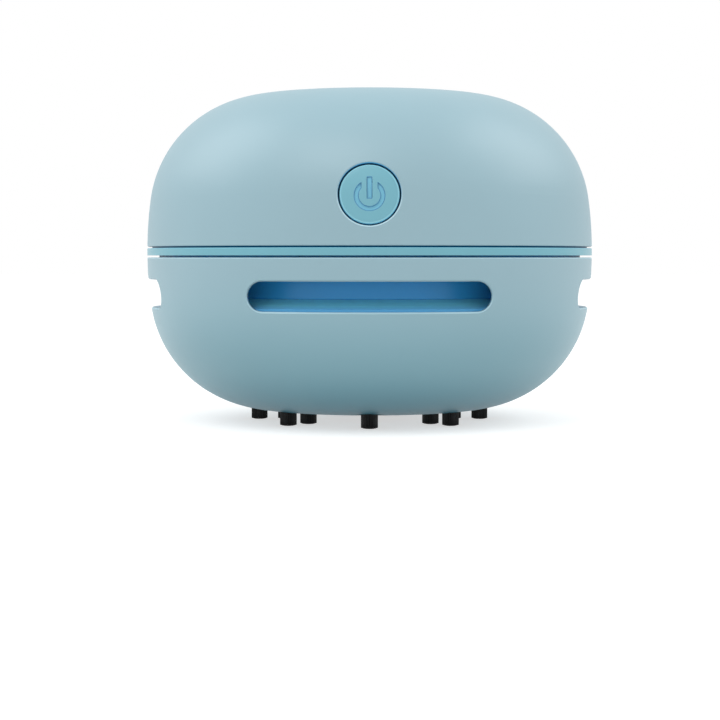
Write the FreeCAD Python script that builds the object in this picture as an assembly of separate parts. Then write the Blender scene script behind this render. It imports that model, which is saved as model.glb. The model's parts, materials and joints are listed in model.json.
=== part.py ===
"""Desktop mini vacuum cleaner: a round two-part body that stands on sixteen bristle tufts.

Frame: millimetres, +Z up, origin on the body's axis at the desk. The power button and the front
exhaust slot face -Y, and the charging socket faces +Y.
"""
import FreeCAD, Part

import math
import os

from FreeCAD import Vector

# ---- body form: a turned outline of crown, corner and side arcs, the same above and below -------
BODY_RADIUS = 45.0
BODY_HALF_HEIGHT = 32.3
CROWN_RADIUS = 297.0
CORNER_RADIUS = 24.1
SIDE_RADIUS = 78.2
UNDERSIDE_HEIGHT = 1.7          # lowest point of the shell above the desk
CORNER_BANDS = 6                # straight bands round the corner on hidden inner faces

# ---- seams between the upper unit and the bowl --------------------------------------------------
RIM_DROP = 1.0                  # bowl rim below the widest level
LOWER_GAP = 0.4                 # open gap between the bowl rim and the trim ring
TRIM_HEIGHT = 1.45
UPPER_GAP = 0.3                 # shadow gap between the trim ring and the top cover
SHADOW_GAP_DEPTH = 1.0
SEAM_EDGE_BREAK = 0.15          # bevelled moulding edges along the seams

# ---- walls --------------------------------------------------------------------------------------
COVER_WALL = 2.0
BOWL_WALL = 2.2
CUP_WALL = 1.4
DECK_THICKNESS = 2.0
SKIRT_WALL = 1.5

# ---- exhaust slots in the bowl ------------------------------------------------------------------
SLOT_HEIGHT = 5.6
SLOT_BELOW_RIM = 4.35
FRONT_SLOT_LENGTH = 45.0
SIDE_SLOT_LENGTH = 36.6
SLOT_LIP_BREAK = 0.25

# ---- bowl floor, inlet and bristle tufts --------------------------------------------------------
FLOOR_DEPTH = 4.5               # floor thickness on the axis
INLET_RADIUS = 9.5
INLET_LEAD_IN = 0.6
NECK_WALL = 1.5
NECK_HEIGHT = 7.8
TUFT_RADIUS = 1.65
TUFT_COUNT = 8                  # tufts in each of the two rings
OUTER_TUFT_RING = 22.5
INNER_TUFT_RING = 17.1
TUFT_ROOT_COVER = 0.8           # floor left above each tuft root
SCALLOP_RADIUS = 3.5            # round recess about the four outer tufts on the main axes
SCALLOP_ROOF = 4.3              # its roof above the desk
SCALLOP_COUNT = 4

# ---- dust cup -----------------------------------------------------------------------------------
PLENUM_WIDTH = 6.6              # exhaust channel between cup wall and bowl wall
PLENUM_DEPTH = 1.8              # the same channel low down, where the cup follows the bowl
CUP_STANDOFF = 0.8              # boss height under the cup floor
CUP_RIM_ABOVE_SLOT = 0.35
CHIMNEY_WALL = 1.4
CHIMNEY_LIP = 1.5
DEFLECTOR_BELOW_SLOT_TOP = 3.15 # where the sloping exhaust deflector meets the cup wall
DEFLECTOR_DROP = 2.9            # from the cup wall out to the body radius
DEFLECTOR_THICKNESS = 1.2
CUP_SCREW_RING = 19.5
CUP_SCREW_COUNT = 4
CUP_BOSS_RADIUS = 2.6

# ---- spigot, seal and filter --------------------------------------------------------------------
SPIGOT_CLEARANCE = 0.2
SPIGOT_DEPTH = 3.3
TRIM_LEDGE = 0.8                # flange of the deck that carries the trim ring
TRIM_LEDGE_HEIGHT = 0.6
SEAL_THICKNESS = 1.2
SEAL_OVERHANG = 0.4
EYE_COLLAR_RADIUS = 14.0        # bore of the collar that the filter plugs into
EYE_COLLAR_WALL = 1.6
EYE_COLLAR_DEPTH = 3.3
EYE_RADIUS = 12.0               # fan inlet through the deck
FILTER_NECK_LENGTH = 2.9
FILTER_NECK_WALL = 1.4
FILTER_FLANGE_THICKNESS = 1.5
FILTER_CAP_THICKNESS = 1.4
FILTER_HEIGHT = 8.5
FILTER_SIDE_GAP = 4.0           # room for dust between the filter and the cup wall
FILTER_POST_COUNT = 6
FILTER_POST_WIDTH = 2.4
FILTER_POST_DEPTH = 1.4
FILTER_POST_INSET = 0.5         # post behind the rim of the end caps
PLEAT_COUNT = 30
PLEAT_DEPTH = 4.0
PLEAT_ROOT_WALL = 1.5

# ---- screws: head radius, head height, shank radius ---------------------------------------------
SCREW_HEAD_RADIUS = 1.9
SCREW_HEAD_HEIGHT = 1.2
SCREW_SHANK_RADIUS = 1.0
CUP_SCREW_LENGTH = 4.6
CHASSIS_SCREW_LENGTH = 8.0
HOUSING_SCREW_LENGTH = 3.4
HOLDER_SCREW_LENGTH = 3.4
BOARD_SCREW_LENGTH = 3.2
SWITCH_SCREW_LENGTH = 5.0
MOTOR_SCREW_LENGTH = 4.4
MOTOR_SCREW_HEAD_HEIGHT = 1.0

# ---- top cover bosses ---------------------------------------------------------------------------
BOSS_RADIUS = 2.6
BOSS_EDGE_GAP = 1.5             # screw head to the seal web
BOSS_SIDE_GAP = 0.9             # boss to the fan housing
BOSS_ANGLES = (20.0, 160.0, 215.0, 325.0)

# ---- fan and motor ------------------------------------------------------------------------------
HOUSING_WALL = 1.3
HOUSING_ROOF = 1.4
BLADE_TIP_GAP = 1.2
BLADE_FLOOR_GAP = 0.6
BLADE_HEIGHT = 5.4
BLADE_COUNT = 11
BLADE_THICKNESS = 0.9
BLADE_INNER_RADIUS = 7.0
BLADE_SWEEP = 48.0              # degrees that a blade lags behind from root to tip
BLADE_CURL = 1.4                # 1 is an even sweep, more puts the sweep towards the tip
BACKPLATE_THICKNESS = 1.0
BACKPLATE_ROOF_GAP = 0.8
HUB_RADIUS = 3.6
HUB_LENGTH = 5.6
HUB_FLARE = 2.0
SHAFT_RADIUS = 1.0
SHAFT_CLEARANCE = 0.03
MOTOR_RADIUS = 12.2
MOTOR_LENGTH = 14.0
END_BELL_THICKNESS = 1.8
CAN_EDGE_BREAK = 0.6
END_BELL_INSET = 1.2
SHAFT_END_INSET = 0.6
CAN_BORE_CLEARANCE = 0.15
BUSH_RADIUS = 3.0
BUSH_SEAT = 1.4
BUSH_NOSE = 2.0
MOTOR_SCREW_SPACING = 16.0
TERMINAL_SPACING = 15.0
TERMINAL_WIDTH = 2.2
TERMINAL_THICKNESS = 0.5
TERMINAL_HEIGHT = 1.8
OUTLET_COUNT = 10
OUTLET_HEIGHT = 4.0
OUTLET_ANGLE = 22.0
LUG_RADIUS = 3.0
LUG_OVERLAP = 0.8               # lug run into the housing wall
LUG_THICKNESS = 2.0
LUG_ANGLES = (0.0, 120.0, 240.0)
EXHAUST_WINDOW_COUNT = 12
EXHAUST_WINDOW_ANGLE = 22.0
EXHAUST_WINDOW_MARGIN = 0.9     # web beside the seal
EXHAUST_WINDOW_SKIRT = 0.45     # web beside the spigot skirt

# ---- battery ------------------------------------------------------------------------------------
BATTERY_RADIUS = 5.25
BATTERY_LENGTH = 44.5
BATTERY_TERMINAL_RADIUS = 1.9
BATTERY_TERMINAL_HEIGHT = 0.8
CRADLE_WALL = 1.2
CRADLE_END_WALL = 1.6
CRADLE_GAP = 0.5
LEG_WIDTH = 3.2
LEG_DEPTH = 5.0
LEG_GAP = 0.3                   # cradle leg to the fan housing
TAB_LENGTH = 5.6
TAB_THICKNESS = 2.0

# ---- boards and charging socket -----------------------------------------------------------------
BOARD_THICKNESS = 1.2
BOARD_WIDTH = 22.0
BOARD_DEPTH = 11.0
BOARD_STANDOFF = 2.6
STANDOFF_RADIUS = 2.0
STANDOFF_SIDE_MARGIN = 1.0      # board left beside each standoff
STANDOFF_FRONT_MARGIN = 0.5
SOCKET_WIDTH = 7.8
SOCKET_HEIGHT = 2.8
SOCKET_DEPTH = 7.4
SOCKET_WALL = 0.35
SOCKET_TAPER = 0.9
SOCKET_BACK = 1.4
SOCKET_TONGUE = 0.7
SOCKET_TONGUE_WIDTH = 3.9
SOCKET_RECESS = 1.3             # socket face behind the outer surface
SOCKET_PORT_MARGIN = 0.9
CHIP_WIDTH = 4.0
CHIP_DEPTH = 3.0
CHIP_HEIGHT = 1.1
CHIP_MARGIN = 1.0

# ---- power button -------------------------------------------------------------------------------
BUTTON_HEIGHT = 44.5            # button centre above the desk
BUTTON_RADIUS = 5.45
BUTTON_GAP = 0.3
BUTTON_SINK = 0.15              # button face below the cover's surface
BUTTON_EDGE_BREAK = 0.3
HOLE_EDGE_BREAK = 0.25          # bevel round the button's hole in the cover
BUTTON_TRAVEL = 1.2
FLANGE_OVERLAP = 0.85
FLANGE_THICKNESS = 0.8
FLANGE_FRONT = 3.15             # flange front behind the outer surface
STEM_RADIUS = 1.7
STEM_LENGTH = 1.5
PLUNGER_SIDE = 3.2
PLUNGER_LENGTH = 3.6
PLUNGER_GAP = 0.08
SWITCH_SIDE = 8.0
SWITCH_DEPTH = 5.6
SWITCH_STOP_GAP = 0.2           # stem to switch face at full travel
SWITCH_BOARD_WIDTH = 25.0
SWITCH_BOARD_HEIGHT = 12.4
SWITCH_POST_SPACING = 19.4
SWITCH_POST_RADIUS = 2.1

FIT_GAP = 0.05                  # push fits between pieces that do not move
OVERSHOOT = 1.0                 # how far a cutting tool runs past the face that it opens

# ---- levels and radii that follow ---------------------------------------------------------------
body_mid_z = UNDERSIDE_HEIGHT + BODY_HALF_HEIGHT
bowl_rim_z = body_mid_z - RIM_DROP
trim_low_z = bowl_rim_z + LOWER_GAP
trim_top_z = trim_low_z + TRIM_HEIGHT
cover_low_z = trim_top_z + UPPER_GAP
slot_top_z = bowl_rim_z - SLOT_BELOW_RIM
slot_mid_z = slot_top_z - SLOT_HEIGHT / 2
floor_top_z = UNDERSIDE_HEIGHT + FLOOR_DEPTH
tuft_top_z = floor_top_z - TUFT_ROOT_COVER
neck_top_z = floor_top_z + NECK_HEIGHT
cup_floor_z = floor_top_z + CUP_STANDOFF
cup_rim_z = slot_top_z + CUP_RIM_ABOVE_SLOT
chimney_top_z = neck_top_z + CHIMNEY_LIP
deck_low_z = trim_low_z
deck_top_z = deck_low_z + DECK_THICKNESS
collar_low_z = deck_low_z - EYE_COLLAR_DEPTH
filter_low_z = collar_low_z - FILTER_HEIGHT
skirt_low_z = bowl_rim_z + LOWER_GAP - SPIGOT_DEPTH

neck_outer_r = INLET_RADIUS + NECK_WALL
cup_outer_r = BODY_RADIUS - BOWL_WALL - PLENUM_WIDTH
cup_inner_r = cup_outer_r - CUP_WALL
spigot_bore_r = BODY_RADIUS - BOWL_WALL
spigot_r = spigot_bore_r - SPIGOT_CLEARANCE
seal_inner_r = cup_inner_r - SEAL_OVERHANG
seal_outer_r = cup_outer_r + SEAL_OVERHANG
boss_ring_r = seal_inner_r - BOSS_EDGE_GAP - SCREW_HEAD_RADIUS
housing_outer_r = boss_ring_r - BOSS_RADIUS - BOSS_SIDE_GAP
housing_inner_r = housing_outer_r - HOUSING_WALL
impeller_r = housing_inner_r - BLADE_TIP_GAP
lug_ring_r = housing_outer_r + LUG_RADIUS - LUG_OVERLAP

blade_low_z = deck_top_z + BLADE_FLOOR_GAP
backplate_low_z = blade_low_z + BLADE_HEIGHT
backplate_top_z = backplate_low_z + BACKPLATE_THICKNESS
roof_low_z = backplate_top_z + BACKPLATE_ROOF_GAP + MOTOR_SCREW_HEAD_HEIGHT
roof_top_z = roof_low_z + HOUSING_ROOF
motor_top_z = roof_top_z + MOTOR_LENGTH
end_bell_top_z = motor_top_z + END_BELL_THICKNESS

leg_inner_x = BATTERY_LENGTH / 2 + FIT_GAP
leg_inner_y = math.sqrt(max(0.0, (housing_outer_r + LEG_GAP) ** 2 - leg_inner_x ** 2))
battery_y = max(MOTOR_RADIUS + CRADLE_GAP + CRADLE_WALL + BATTERY_RADIUS, leg_inner_y + LEG_DEPTH / 2)
battery_z = roof_top_z + CRADLE_GAP + CRADLE_WALL + BATTERY_RADIUS
board_low_z = deck_top_z + BOARD_STANDOFF
board_top_z = board_low_z + BOARD_THICKNESS
board_front_y = housing_outer_r + BOSS_SIDE_GAP
socket_mid_z = board_top_z + SOCKET_HEIGHT / 2

flange_r = BUTTON_RADIUS + BUTTON_GAP + FLANGE_OVERLAP
flange_back = FLANGE_FRONT + FLANGE_THICKNESS
stem_end = flange_back + STEM_LENGTH
switch_face = stem_end + BUTTON_TRAVEL + SWITCH_STOP_GAP
switch_back = switch_face + SWITCH_DEPTH

EDGE_TOLERANCE = 0.01           # matching distance when edges are picked by place
FAR = 4 * BODY_RADIUS           # longer than the body, for cutting tools that pass right through
AXIS = Vector(0, 0, 1)
ORIGIN = Vector(0, 0, 0)


# ---- plain shapes -------------------------------------------------------------------------------
def disc(radius, z_low, z_high, centre=ORIGIN):
    return Part.makeCylinder(radius, z_high - z_low, Vector(centre.x, centre.y, z_low))


def ring(inner, outer, z_low, z_high):
    return disc(outer, z_low, z_high).cut(disc(inner, z_low, z_high))


def block(x_low, x_high, y_low, y_high, z_low, z_high):
    size = (x_high - x_low, y_high - y_low, z_high - z_low)
    return Part.makeBox(*size, Vector(x_low, y_low, z_low))


def polar(radius, degrees):
    angle = math.radians(degrees)
    return Vector(radius * math.cos(angle), radius * math.sin(angle), 0)


def evenly(count, first=0.0):
    return [first + 360.0 * index / count for index in range(count)]


def turned(points):
    """A solid of revolution about the body's axis from (radius, height) corners."""
    corners = [Vector(radius, 0, height) for radius, height in points]
    outline = Part.makePolygon(corners + corners[:1])
    return Part.Face(outline).revolve(ORIGIN, AXIS, 360)


def turned_copies(shape, angles):
    copies = []
    for angle in angles:
        copy = shape.copy()
        copy.rotate(ORIGIN, AXIS, angle)
        copies.append(copy)
    return copies


def joined(shapes):
    return shapes[0].multiFuse(shapes[1:]).removeSplitter()


def stadium(length, height, depth):
    """A round-ended bar along Y, centred on the origin, with its length along X."""
    radius = height / 2
    reach = length / 2 - radius
    top = Part.LineSegment(Vector(-reach, 0, radius), Vector(reach, 0, radius))
    right = Part.Arc(top.EndPoint, Vector(length / 2, 0, 0), Vector(reach, 0, -radius))
    bottom = Part.LineSegment(Vector(reach, 0, -radius), Vector(-reach, 0, -radius))
    left = Part.Arc(bottom.EndPoint, Vector(-length / 2, 0, 0), top.StartPoint)
    outline = Part.Wire([curve.toShape() for curve in (top, right, bottom, left)])
    return Part.Face(outline).extrude(Vector(0, depth, 0))


def arc_sector(inner, outer, z_low, z_high, degrees):
    """A piece of a ring, centred on +X."""
    corners = (Vector(inner, 0, z_low), Vector(outer, 0, z_low),
               Vector(outer, 0, z_high), Vector(inner, 0, z_high))
    section = Part.Face(Part.makePolygon(corners + corners[:1]))
    section.rotate(ORIGIN, AXIS, -degrees / 2)
    return section.revolve(ORIGIN, AXIS, degrees)


def bevelled(shape, size, wanted):
    """Bevel the edges that the test picks."""
    solid = shape.Solids[0]
    return solid.makeChamfer(size, [edge for edge in solid.Edges if edge.Length > 0 and wanted(edge)])


def edge_cut(radius, height, side):
    """A turned wedge that bevels an outer edge: side is 1 for an upper edge and -1 for a lower one."""
    outside = radius + SEAM_EDGE_BREAK
    return turned(((radius - SEAM_EDGE_BREAK, height), (outside, height),
                   (outside, height - 2 * side * SEAM_EDGE_BREAK)))


def screw(length, head_height=SCREW_HEAD_HEIGHT):
    """A pan-head screw that points down -Z, with the underside of its head at z = 0."""
    return disc(SCREW_HEAD_RADIUS, 0, head_height).fuse(disc(SCREW_SHANK_RADIUS, -length, 0))


def at(shape, place):
    moved = shape.copy()
    moved.translate(place)
    return moved


def upside_down(shape):
    turned_over = shape.copy()
    turned_over.rotate(ORIGIN, Vector(1, 0, 0), 180)
    return turned_over


# ---- the body form: points are (distance from the axis, height above the middle level) -----------
crown_centre = (0.0, BODY_HALF_HEIGHT - CROWN_RADIUS)
side_centre = (BODY_RADIUS - SIDE_RADIUS, 0.0)


def touching_centre():
    """Centre of the corner arc, which touches the crown arc and the side arc from inside."""
    spacing = math.dist(crown_centre, side_centre)
    to_crown = CROWN_RADIUS - CORNER_RADIUS
    to_side = SIDE_RADIUS - CORNER_RADIUS
    along = (to_crown ** 2 - to_side ** 2 + spacing ** 2) / (2 * spacing)
    beside = math.sqrt(to_crown ** 2 - along ** 2)
    right = (side_centre[0] - crown_centre[0]) / spacing
    up = (side_centre[1] - crown_centre[1]) / spacing
    return crown_centre[0] + along * right + beside * up, crown_centre[1] + along * up - beside * right


def direction(start, end):
    return math.atan2(end[1] - start[1], end[0] - start[0])


corner_centre = touching_centre()
side_end = direction(side_centre, corner_centre)
crown_start = direction(crown_centre, corner_centre)
ARCS = (
    (side_centre, SIDE_RADIUS, 0.0, side_end),
    (corner_centre, CORNER_RADIUS, side_end, crown_start),
    (crown_centre, CROWN_RADIUS, crown_start, math.pi / 2),
)


def on_arc(centre, radius, angle):
    return centre[0] + radius * math.cos(angle), centre[1] + radius * math.sin(angle)


def arc_at(height):
    """Centre and radius of the outline arc that crosses this height above the desk."""
    rise = abs(height - body_mid_z)
    for centre, radius, start, end in ARCS:
        if rise <= on_arc(centre, radius, end)[1]:
            break
    return centre, radius


def form_radius(height):
    """Outer radius of the body at a height above the desk."""
    centre, radius = arc_at(height)
    rise = abs(height - body_mid_z) - centre[1]
    return centre[0] + math.sqrt(radius ** 2 - rise ** 2)


def form_tilt(height):
    """Angle between level and the outward direction of the body's surface, in degrees."""
    centre, radius = arc_at(height)
    rise = abs(height - body_mid_z) - centre[1]
    return math.degrees(math.asin(rise / radius))


def form(inset):
    """The whole body form, moved in by a wall thickness all over."""
    pole = Vector(0, 0, BODY_HALF_HEIGHT - inset)
    middle = Vector(0, 0, body_mid_z)
    edges = [Part.makeLine(middle - pole, middle + pole)]
    for side in (-1, 1):
        for centre, radius, start, end in ARCS:
            points = [on_arc(centre, radius - inset, angle) for angle in (start, (start + end) / 2, end)]
            points = [Vector(across, 0, body_mid_z + side * up) for across, up in points]
            edges.append(Part.Arc(*points).toShape())
    outline = Part.Wire(Part.__sortEdges__(edges))
    return Part.Face(outline).revolve(ORIGIN, AXIS, 360)


def hollow_form(inset):
    """The form moved in by a wall thickness, in straight turned bands, for faces inside the body."""
    upper = [(BODY_RADIUS - inset, 0.0)]
    for step in range(CORNER_BANDS + 1):
        angle = side_end + (crown_start - side_end) * step / CORNER_BANDS
        upper.append(on_arc(corner_centre, CORNER_RADIUS - inset, angle))
    upper.append(on_arc(crown_centre, CROWN_RADIUS - inset, (crown_start + math.pi / 2) / 2))
    upper.append((0.0, BODY_HALF_HEIGHT - inset))
    lower = [(across, -up) for across, up in reversed(upper[1:])]
    return turned([(across, body_mid_z + up) for across, up in lower + upper])


# ---- button frame: local +Z points out of the button, local +Y up the cover -----------------------
button_tilt = form_tilt(BUTTON_HEIGHT)
button_point = Vector(0, -form_radius(BUTTON_HEIGHT), BUTTON_HEIGHT)


def on_button_axis(shape):
    placed = shape.copy()
    placed.rotate(ORIGIN, Vector(1, 0, 0), 90 - button_tilt)
    placed.translate(button_point)
    return placed


def on_button_rim(edge, radius):
    """True for an edge round the button's axis at this radius, near the cover's surface."""
    tilt = math.radians(button_tilt)
    outward = Vector(0, -math.cos(tilt), math.sin(tilt))
    for vertex in edge.Vertexes:
        offset = vertex.Point - button_point
        depth = offset.dot(outward)
        if abs((offset - outward * depth).Length - radius) > EDGE_TOLERANCE or depth < -COVER_WALL / 2:
            return False
    return True


# ---- lower body: bowl, dust cup, bristles ---------------------------------------------------------
def slot_tools():
    """The four stadium cutters of the exhaust slots, from the front round to the left."""
    front = at(stadium(FRONT_SLOT_LENGTH, SLOT_HEIGHT, -FAR), Vector(0, 0, slot_mid_z))
    side = at(stadium(SIDE_SLOT_LENGTH, SLOT_HEIGHT, -FAR), Vector(0, 0, slot_mid_z))
    return turned_copies(front, (0, 180)) + turned_copies(side, (90, 270))


def on_slot_lip(edge):
    """True for the edges where a slot meets the bowl's outer surface."""
    return all(abs(point.Z - slot_mid_z) < SLOT_HEIGHT / 2 + EDGE_TOLERANCE
               and abs(math.hypot(point.X, point.Y) - form_radius(point.Z)) < EDGE_TOLERANCE
               for point in edge.Vertexes)


def tuft_places(ring_r):
    return [polar(ring_r, angle) for angle in evenly(TUFT_COUNT, -90.0)]


def cup_screw_places():
    half_pitch = 180.0 / TUFT_COUNT
    return [polar(CUP_SCREW_RING, angle) for angle in evenly(CUP_SCREW_COUNT, half_pitch)]


def lower_shell():
    shell = form(0).common(disc(FAR, 0, bowl_rim_z))
    shell = shell.cut(edge_cut(form_radius(bowl_rim_z), bowl_rim_z, 1))
    hollow = hollow_form(BOWL_WALL).common(disc(FAR, floor_top_z, bowl_rim_z + OVERSHOOT))
    hollow = hollow.fuse(disc(spigot_bore_r, skirt_low_z - LOWER_GAP, bowl_rim_z + OVERSHOOT))
    hollow = hollow.cut(disc(neck_outer_r, 0, neck_top_z))
    for place in cup_screw_places():
        hollow = hollow.cut(disc(CUP_BOSS_RADIUS, 0, cup_floor_z, place))
    shell = shell.cut(hollow)
    for tool in slot_tools():
        shell = shell.cut(tool)
    shell = bevelled(shell, SLOT_LIP_BREAK, on_slot_lip)
    lead_in = turned(((0, UNDERSIDE_HEIGHT - INLET_LEAD_IN),
                      (INLET_RADIUS + 2 * INLET_LEAD_IN, UNDERSIDE_HEIGHT - INLET_LEAD_IN),
                      (INLET_RADIUS, UNDERSIDE_HEIGHT + INLET_LEAD_IN),
                      (0, UNDERSIDE_HEIGHT + INLET_LEAD_IN)))
    holes = [disc(INLET_RADIUS, 0, neck_top_z), lead_in]
    for place in tuft_places(OUTER_TUFT_RING) + tuft_places(INNER_TUFT_RING):
        holes.append(disc(TUFT_RADIUS + FIT_GAP, 0, tuft_top_z, place))
    for angle in evenly(SCALLOP_COUNT):
        holes.append(disc(SCALLOP_RADIUS, 0, SCALLOP_ROOF, polar(OUTER_TUFT_RING, angle)))
    screw_tip_z = cup_floor_z + CUP_WALL - CUP_SCREW_LENGTH
    for place in cup_screw_places():
        holes.append(disc(SCREW_SHANK_RADIUS + FIT_GAP, screw_tip_z, cup_floor_z, place))
    return shell.cut(joined(holes))


def dust_cup():
    outside = hollow_form(BOWL_WALL + PLENUM_DEPTH).common(disc(cup_outer_r, cup_floor_z, cup_rim_z))
    inside = hollow_form(BOWL_WALL + PLENUM_DEPTH + CUP_WALL)
    inside = inside.common(disc(cup_inner_r, cup_floor_z + CUP_WALL, cup_rim_z + OVERSHOOT))
    chimney_bore_r = neck_outer_r + FIT_GAP
    inside = inside.cut(disc(chimney_bore_r + CHIMNEY_WALL, 0, chimney_top_z))
    cup = outside.cut(inside)
    inner_z = slot_top_z - DEFLECTOR_BELOW_SLOT_TOP
    outer_z = inner_z - DEFLECTOR_DROP
    root_r = cup_outer_r - CUP_WALL / 2
    deflector = turned(((root_r, inner_z), (BODY_RADIUS, outer_z),
                        (BODY_RADIUS, outer_z - DEFLECTOR_THICKNESS),
                        (root_r, inner_z - DEFLECTOR_THICKNESS)))
    deflector = deflector.common(hollow_form(BOWL_WALL + FIT_GAP))
    cup = joined([cup, deflector])
    cup = cup.cut(disc(chimney_bore_r, 0, neck_top_z + FIT_GAP))
    cup = cup.cut(disc(INLET_RADIUS, 0, chimney_top_z))
    for place in cup_screw_places():
        cup = cup.cut(disc(SCREW_SHANK_RADIUS + FIT_GAP, 0, cup_floor_z + CUP_WALL, place))
    return cup


def cup_screws():
    head_z = cup_floor_z + CUP_WALL
    return [at(screw(CUP_SCREW_LENGTH), place + Vector(0, 0, head_z)) for place in cup_screw_places()]


def tufts(ring_r):
    return [disc(TUFT_RADIUS, 0, tuft_top_z, place) for place in tuft_places(ring_r)]


# ---- upper unit: cover, trim ring, deck ------------------------------------------------------------
def boss_places():
    return [polar(boss_ring_r, angle) for angle in BOSS_ANGLES]


def switch_feet(depth):
    """Points on the two switch screws' axes, this deep behind the button's face, in the button frame."""
    return [Vector(side * SWITCH_POST_SPACING / 2, 0, -depth) for side in (-1, 1)]


def top_cover():
    shell = form(0).common(disc(FAR, cover_low_z, FAR))
    shell = shell.cut(edge_cut(form_radius(cover_low_z), cover_low_z, -1))
    shell = shell.cut(hollow_form(COVER_WALL))
    lip_outer_r = form_radius(cover_low_z) - SHADOW_GAP_DEPTH
    lip = ring(spigot_r + FIT_GAP, lip_outer_r, trim_top_z, deck_top_z)
    core = hollow_form(COVER_WALL / 2)
    pieces = [shell, lip]
    for place in boss_places():
        pieces.append(disc(BOSS_RADIUS, deck_top_z, FAR, place).common(core))
    for foot in switch_feet(switch_back):
        post = Part.makeCylinder(SWITCH_POST_RADIUS, switch_back, foot)
        pieces.append(on_button_axis(post).common(core))
    cover = joined(pieces)
    hole_r = BUTTON_RADIUS + BUTTON_GAP
    hole = Part.makeCylinder(hole_r, 2 * hole_r, Vector(0, 0, -hole_r))
    hole.rotate(ORIGIN, AXIS, 90)   # its seam line lies at the top, clear of where two arcs meet
    cover = cover.cut(on_button_axis(hole))
    cover = bevelled(cover, HOLE_EDGE_BREAK, lambda edge: on_button_rim(edge, hole_r))
    port_width = SOCKET_WIDTH + 2 * SOCKET_PORT_MARGIN
    port_height = SOCKET_HEIGHT + 2 * SOCKET_PORT_MARGIN
    cover = cover.cut(at(stadium(port_width, port_height, FAR), Vector(0, 0, socket_mid_z)))
    for place in boss_places():
        pilot_top = deck_low_z + CHASSIS_SCREW_LENGTH
        cover = cover.cut(disc(SCREW_SHANK_RADIUS + FIT_GAP, deck_top_z, pilot_top, place))
    pilot_depth = SWITCH_SCREW_LENGTH - BOARD_THICKNESS
    for foot in switch_feet(switch_back):
        pilot = Part.makeCylinder(SCREW_SHANK_RADIUS + FIT_GAP, pilot_depth, foot)
        cover = cover.cut(on_button_axis(pilot))
    return cover


def trim_ring():
    outer_r = form_radius(trim_low_z)
    band = ring(spigot_r + FIT_GAP, outer_r, trim_low_z, trim_top_z)
    band = band.cut(disc(spigot_r + TRIM_LEDGE + FIT_GAP, trim_low_z, trim_low_z + TRIM_LEDGE_HEIGHT))
    return band.cut(edge_cut(outer_r, trim_top_z, 1))


def standoff_places():
    side = BOARD_WIDTH / 2 - STANDOFF_RADIUS - STANDOFF_SIDE_MARGIN
    return [Vector(x, board_front_y + STANDOFF_RADIUS + STANDOFF_FRONT_MARGIN, 0) for x in (-side, side)]


def lug_places():
    return [polar(lug_ring_r, angle) for angle in LUG_ANGLES]


def tab_places():
    reach = BATTERY_LENGTH / 2 + LEG_WIDTH + TAB_LENGTH / 2
    return [Vector(side * reach, battery_y, 0) for side in (-1, 1)]


def deck_plate():
    window_inner_r = seal_outer_r + EXHAUST_WINDOW_MARGIN
    window_outer_r = spigot_r - SKIRT_WALL - EXHAUST_WINDOW_SKIRT
    pieces = [
        disc(spigot_r, deck_low_z, deck_top_z),
        disc(spigot_r + TRIM_LEDGE, deck_low_z, deck_low_z + TRIM_LEDGE_HEIGHT),
        ring(spigot_r - SKIRT_WALL, spigot_r, skirt_low_z, deck_low_z),
        ring(seal_inner_r, seal_outer_r, cup_rim_z + SEAL_THICKNESS, deck_low_z),
        disc(EYE_COLLAR_RADIUS + EYE_COLLAR_WALL, collar_low_z, deck_low_z),
    ]
    for place in standoff_places():
        pieces.append(disc(STANDOFF_RADIUS, deck_top_z, board_low_z, place))
    deck = joined(pieces)
    holes = [disc(EYE_RADIUS, 0, FAR), disc(EYE_COLLAR_RADIUS, 0, deck_low_z)]
    window = arc_sector(window_inner_r, window_outer_r, deck_low_z, deck_top_z, EXHAUST_WINDOW_ANGLE)
    holes += turned_copies(window, evenly(EXHAUST_WINDOW_COUNT))
    for place in boss_places():
        holes.append(disc(SCREW_SHANK_RADIUS + FIT_GAP, deck_low_z, deck_top_z, place))
    for place in lug_places() + tab_places():
        pilot_low = deck_top_z + LUG_THICKNESS - HOUSING_SCREW_LENGTH
        holes.append(disc(SCREW_SHANK_RADIUS + FIT_GAP, pilot_low, deck_top_z, place))
    for place in standoff_places():
        pilot_low = board_top_z - BOARD_SCREW_LENGTH
        holes.append(disc(SCREW_SHANK_RADIUS + FIT_GAP, pilot_low, board_low_z, place))
    return deck.cut(Part.makeCompound(holes))


def seal_ring():
    return ring(seal_inner_r, seal_outer_r, cup_rim_z, cup_rim_z + SEAL_THICKNESS)


def chassis_screws():
    upward = upside_down(screw(CHASSIS_SCREW_LENGTH))
    return [at(upward, place + Vector(0, 0, deck_low_z)) for place in boss_places()]


# ---- fan housing, impeller and motor ---------------------------------------------------------------
def motor_screw_places():
    return [Vector(side * MOTOR_SCREW_SPACING / 2, 0, 0) for side in (-1, 1)]


def fan_housing():
    pieces = [disc(housing_outer_r, deck_top_z, roof_top_z)]
    for place in lug_places():
        pieces.append(disc(LUG_RADIUS, deck_top_z, deck_top_z + LUG_THICKNESS, place))
    housing = joined(pieces)
    holes = [disc(housing_inner_r, deck_top_z, roof_low_z), disc(BUSH_RADIUS + FIT_GAP, 0, roof_top_z)]
    outlet_low_z = deck_top_z + LUG_THICKNESS
    outlet = arc_sector(housing_inner_r - OVERSHOOT, housing_outer_r + OVERSHOOT,
                        outlet_low_z, outlet_low_z + OUTLET_HEIGHT, OUTLET_ANGLE)
    holes += turned_copies(outlet, evenly(OUTLET_COUNT, 180.0 / OUTLET_COUNT))
    for place in motor_screw_places():
        holes.append(disc(SCREW_SHANK_RADIUS + FIT_GAP, roof_low_z, roof_top_z, place))
    for place in lug_places():
        holes.append(disc(SCREW_SHANK_RADIUS + FIT_GAP, deck_top_z, deck_top_z + LUG_THICKNESS, place))
    return housing.cut(Part.makeCompound(holes))


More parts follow.
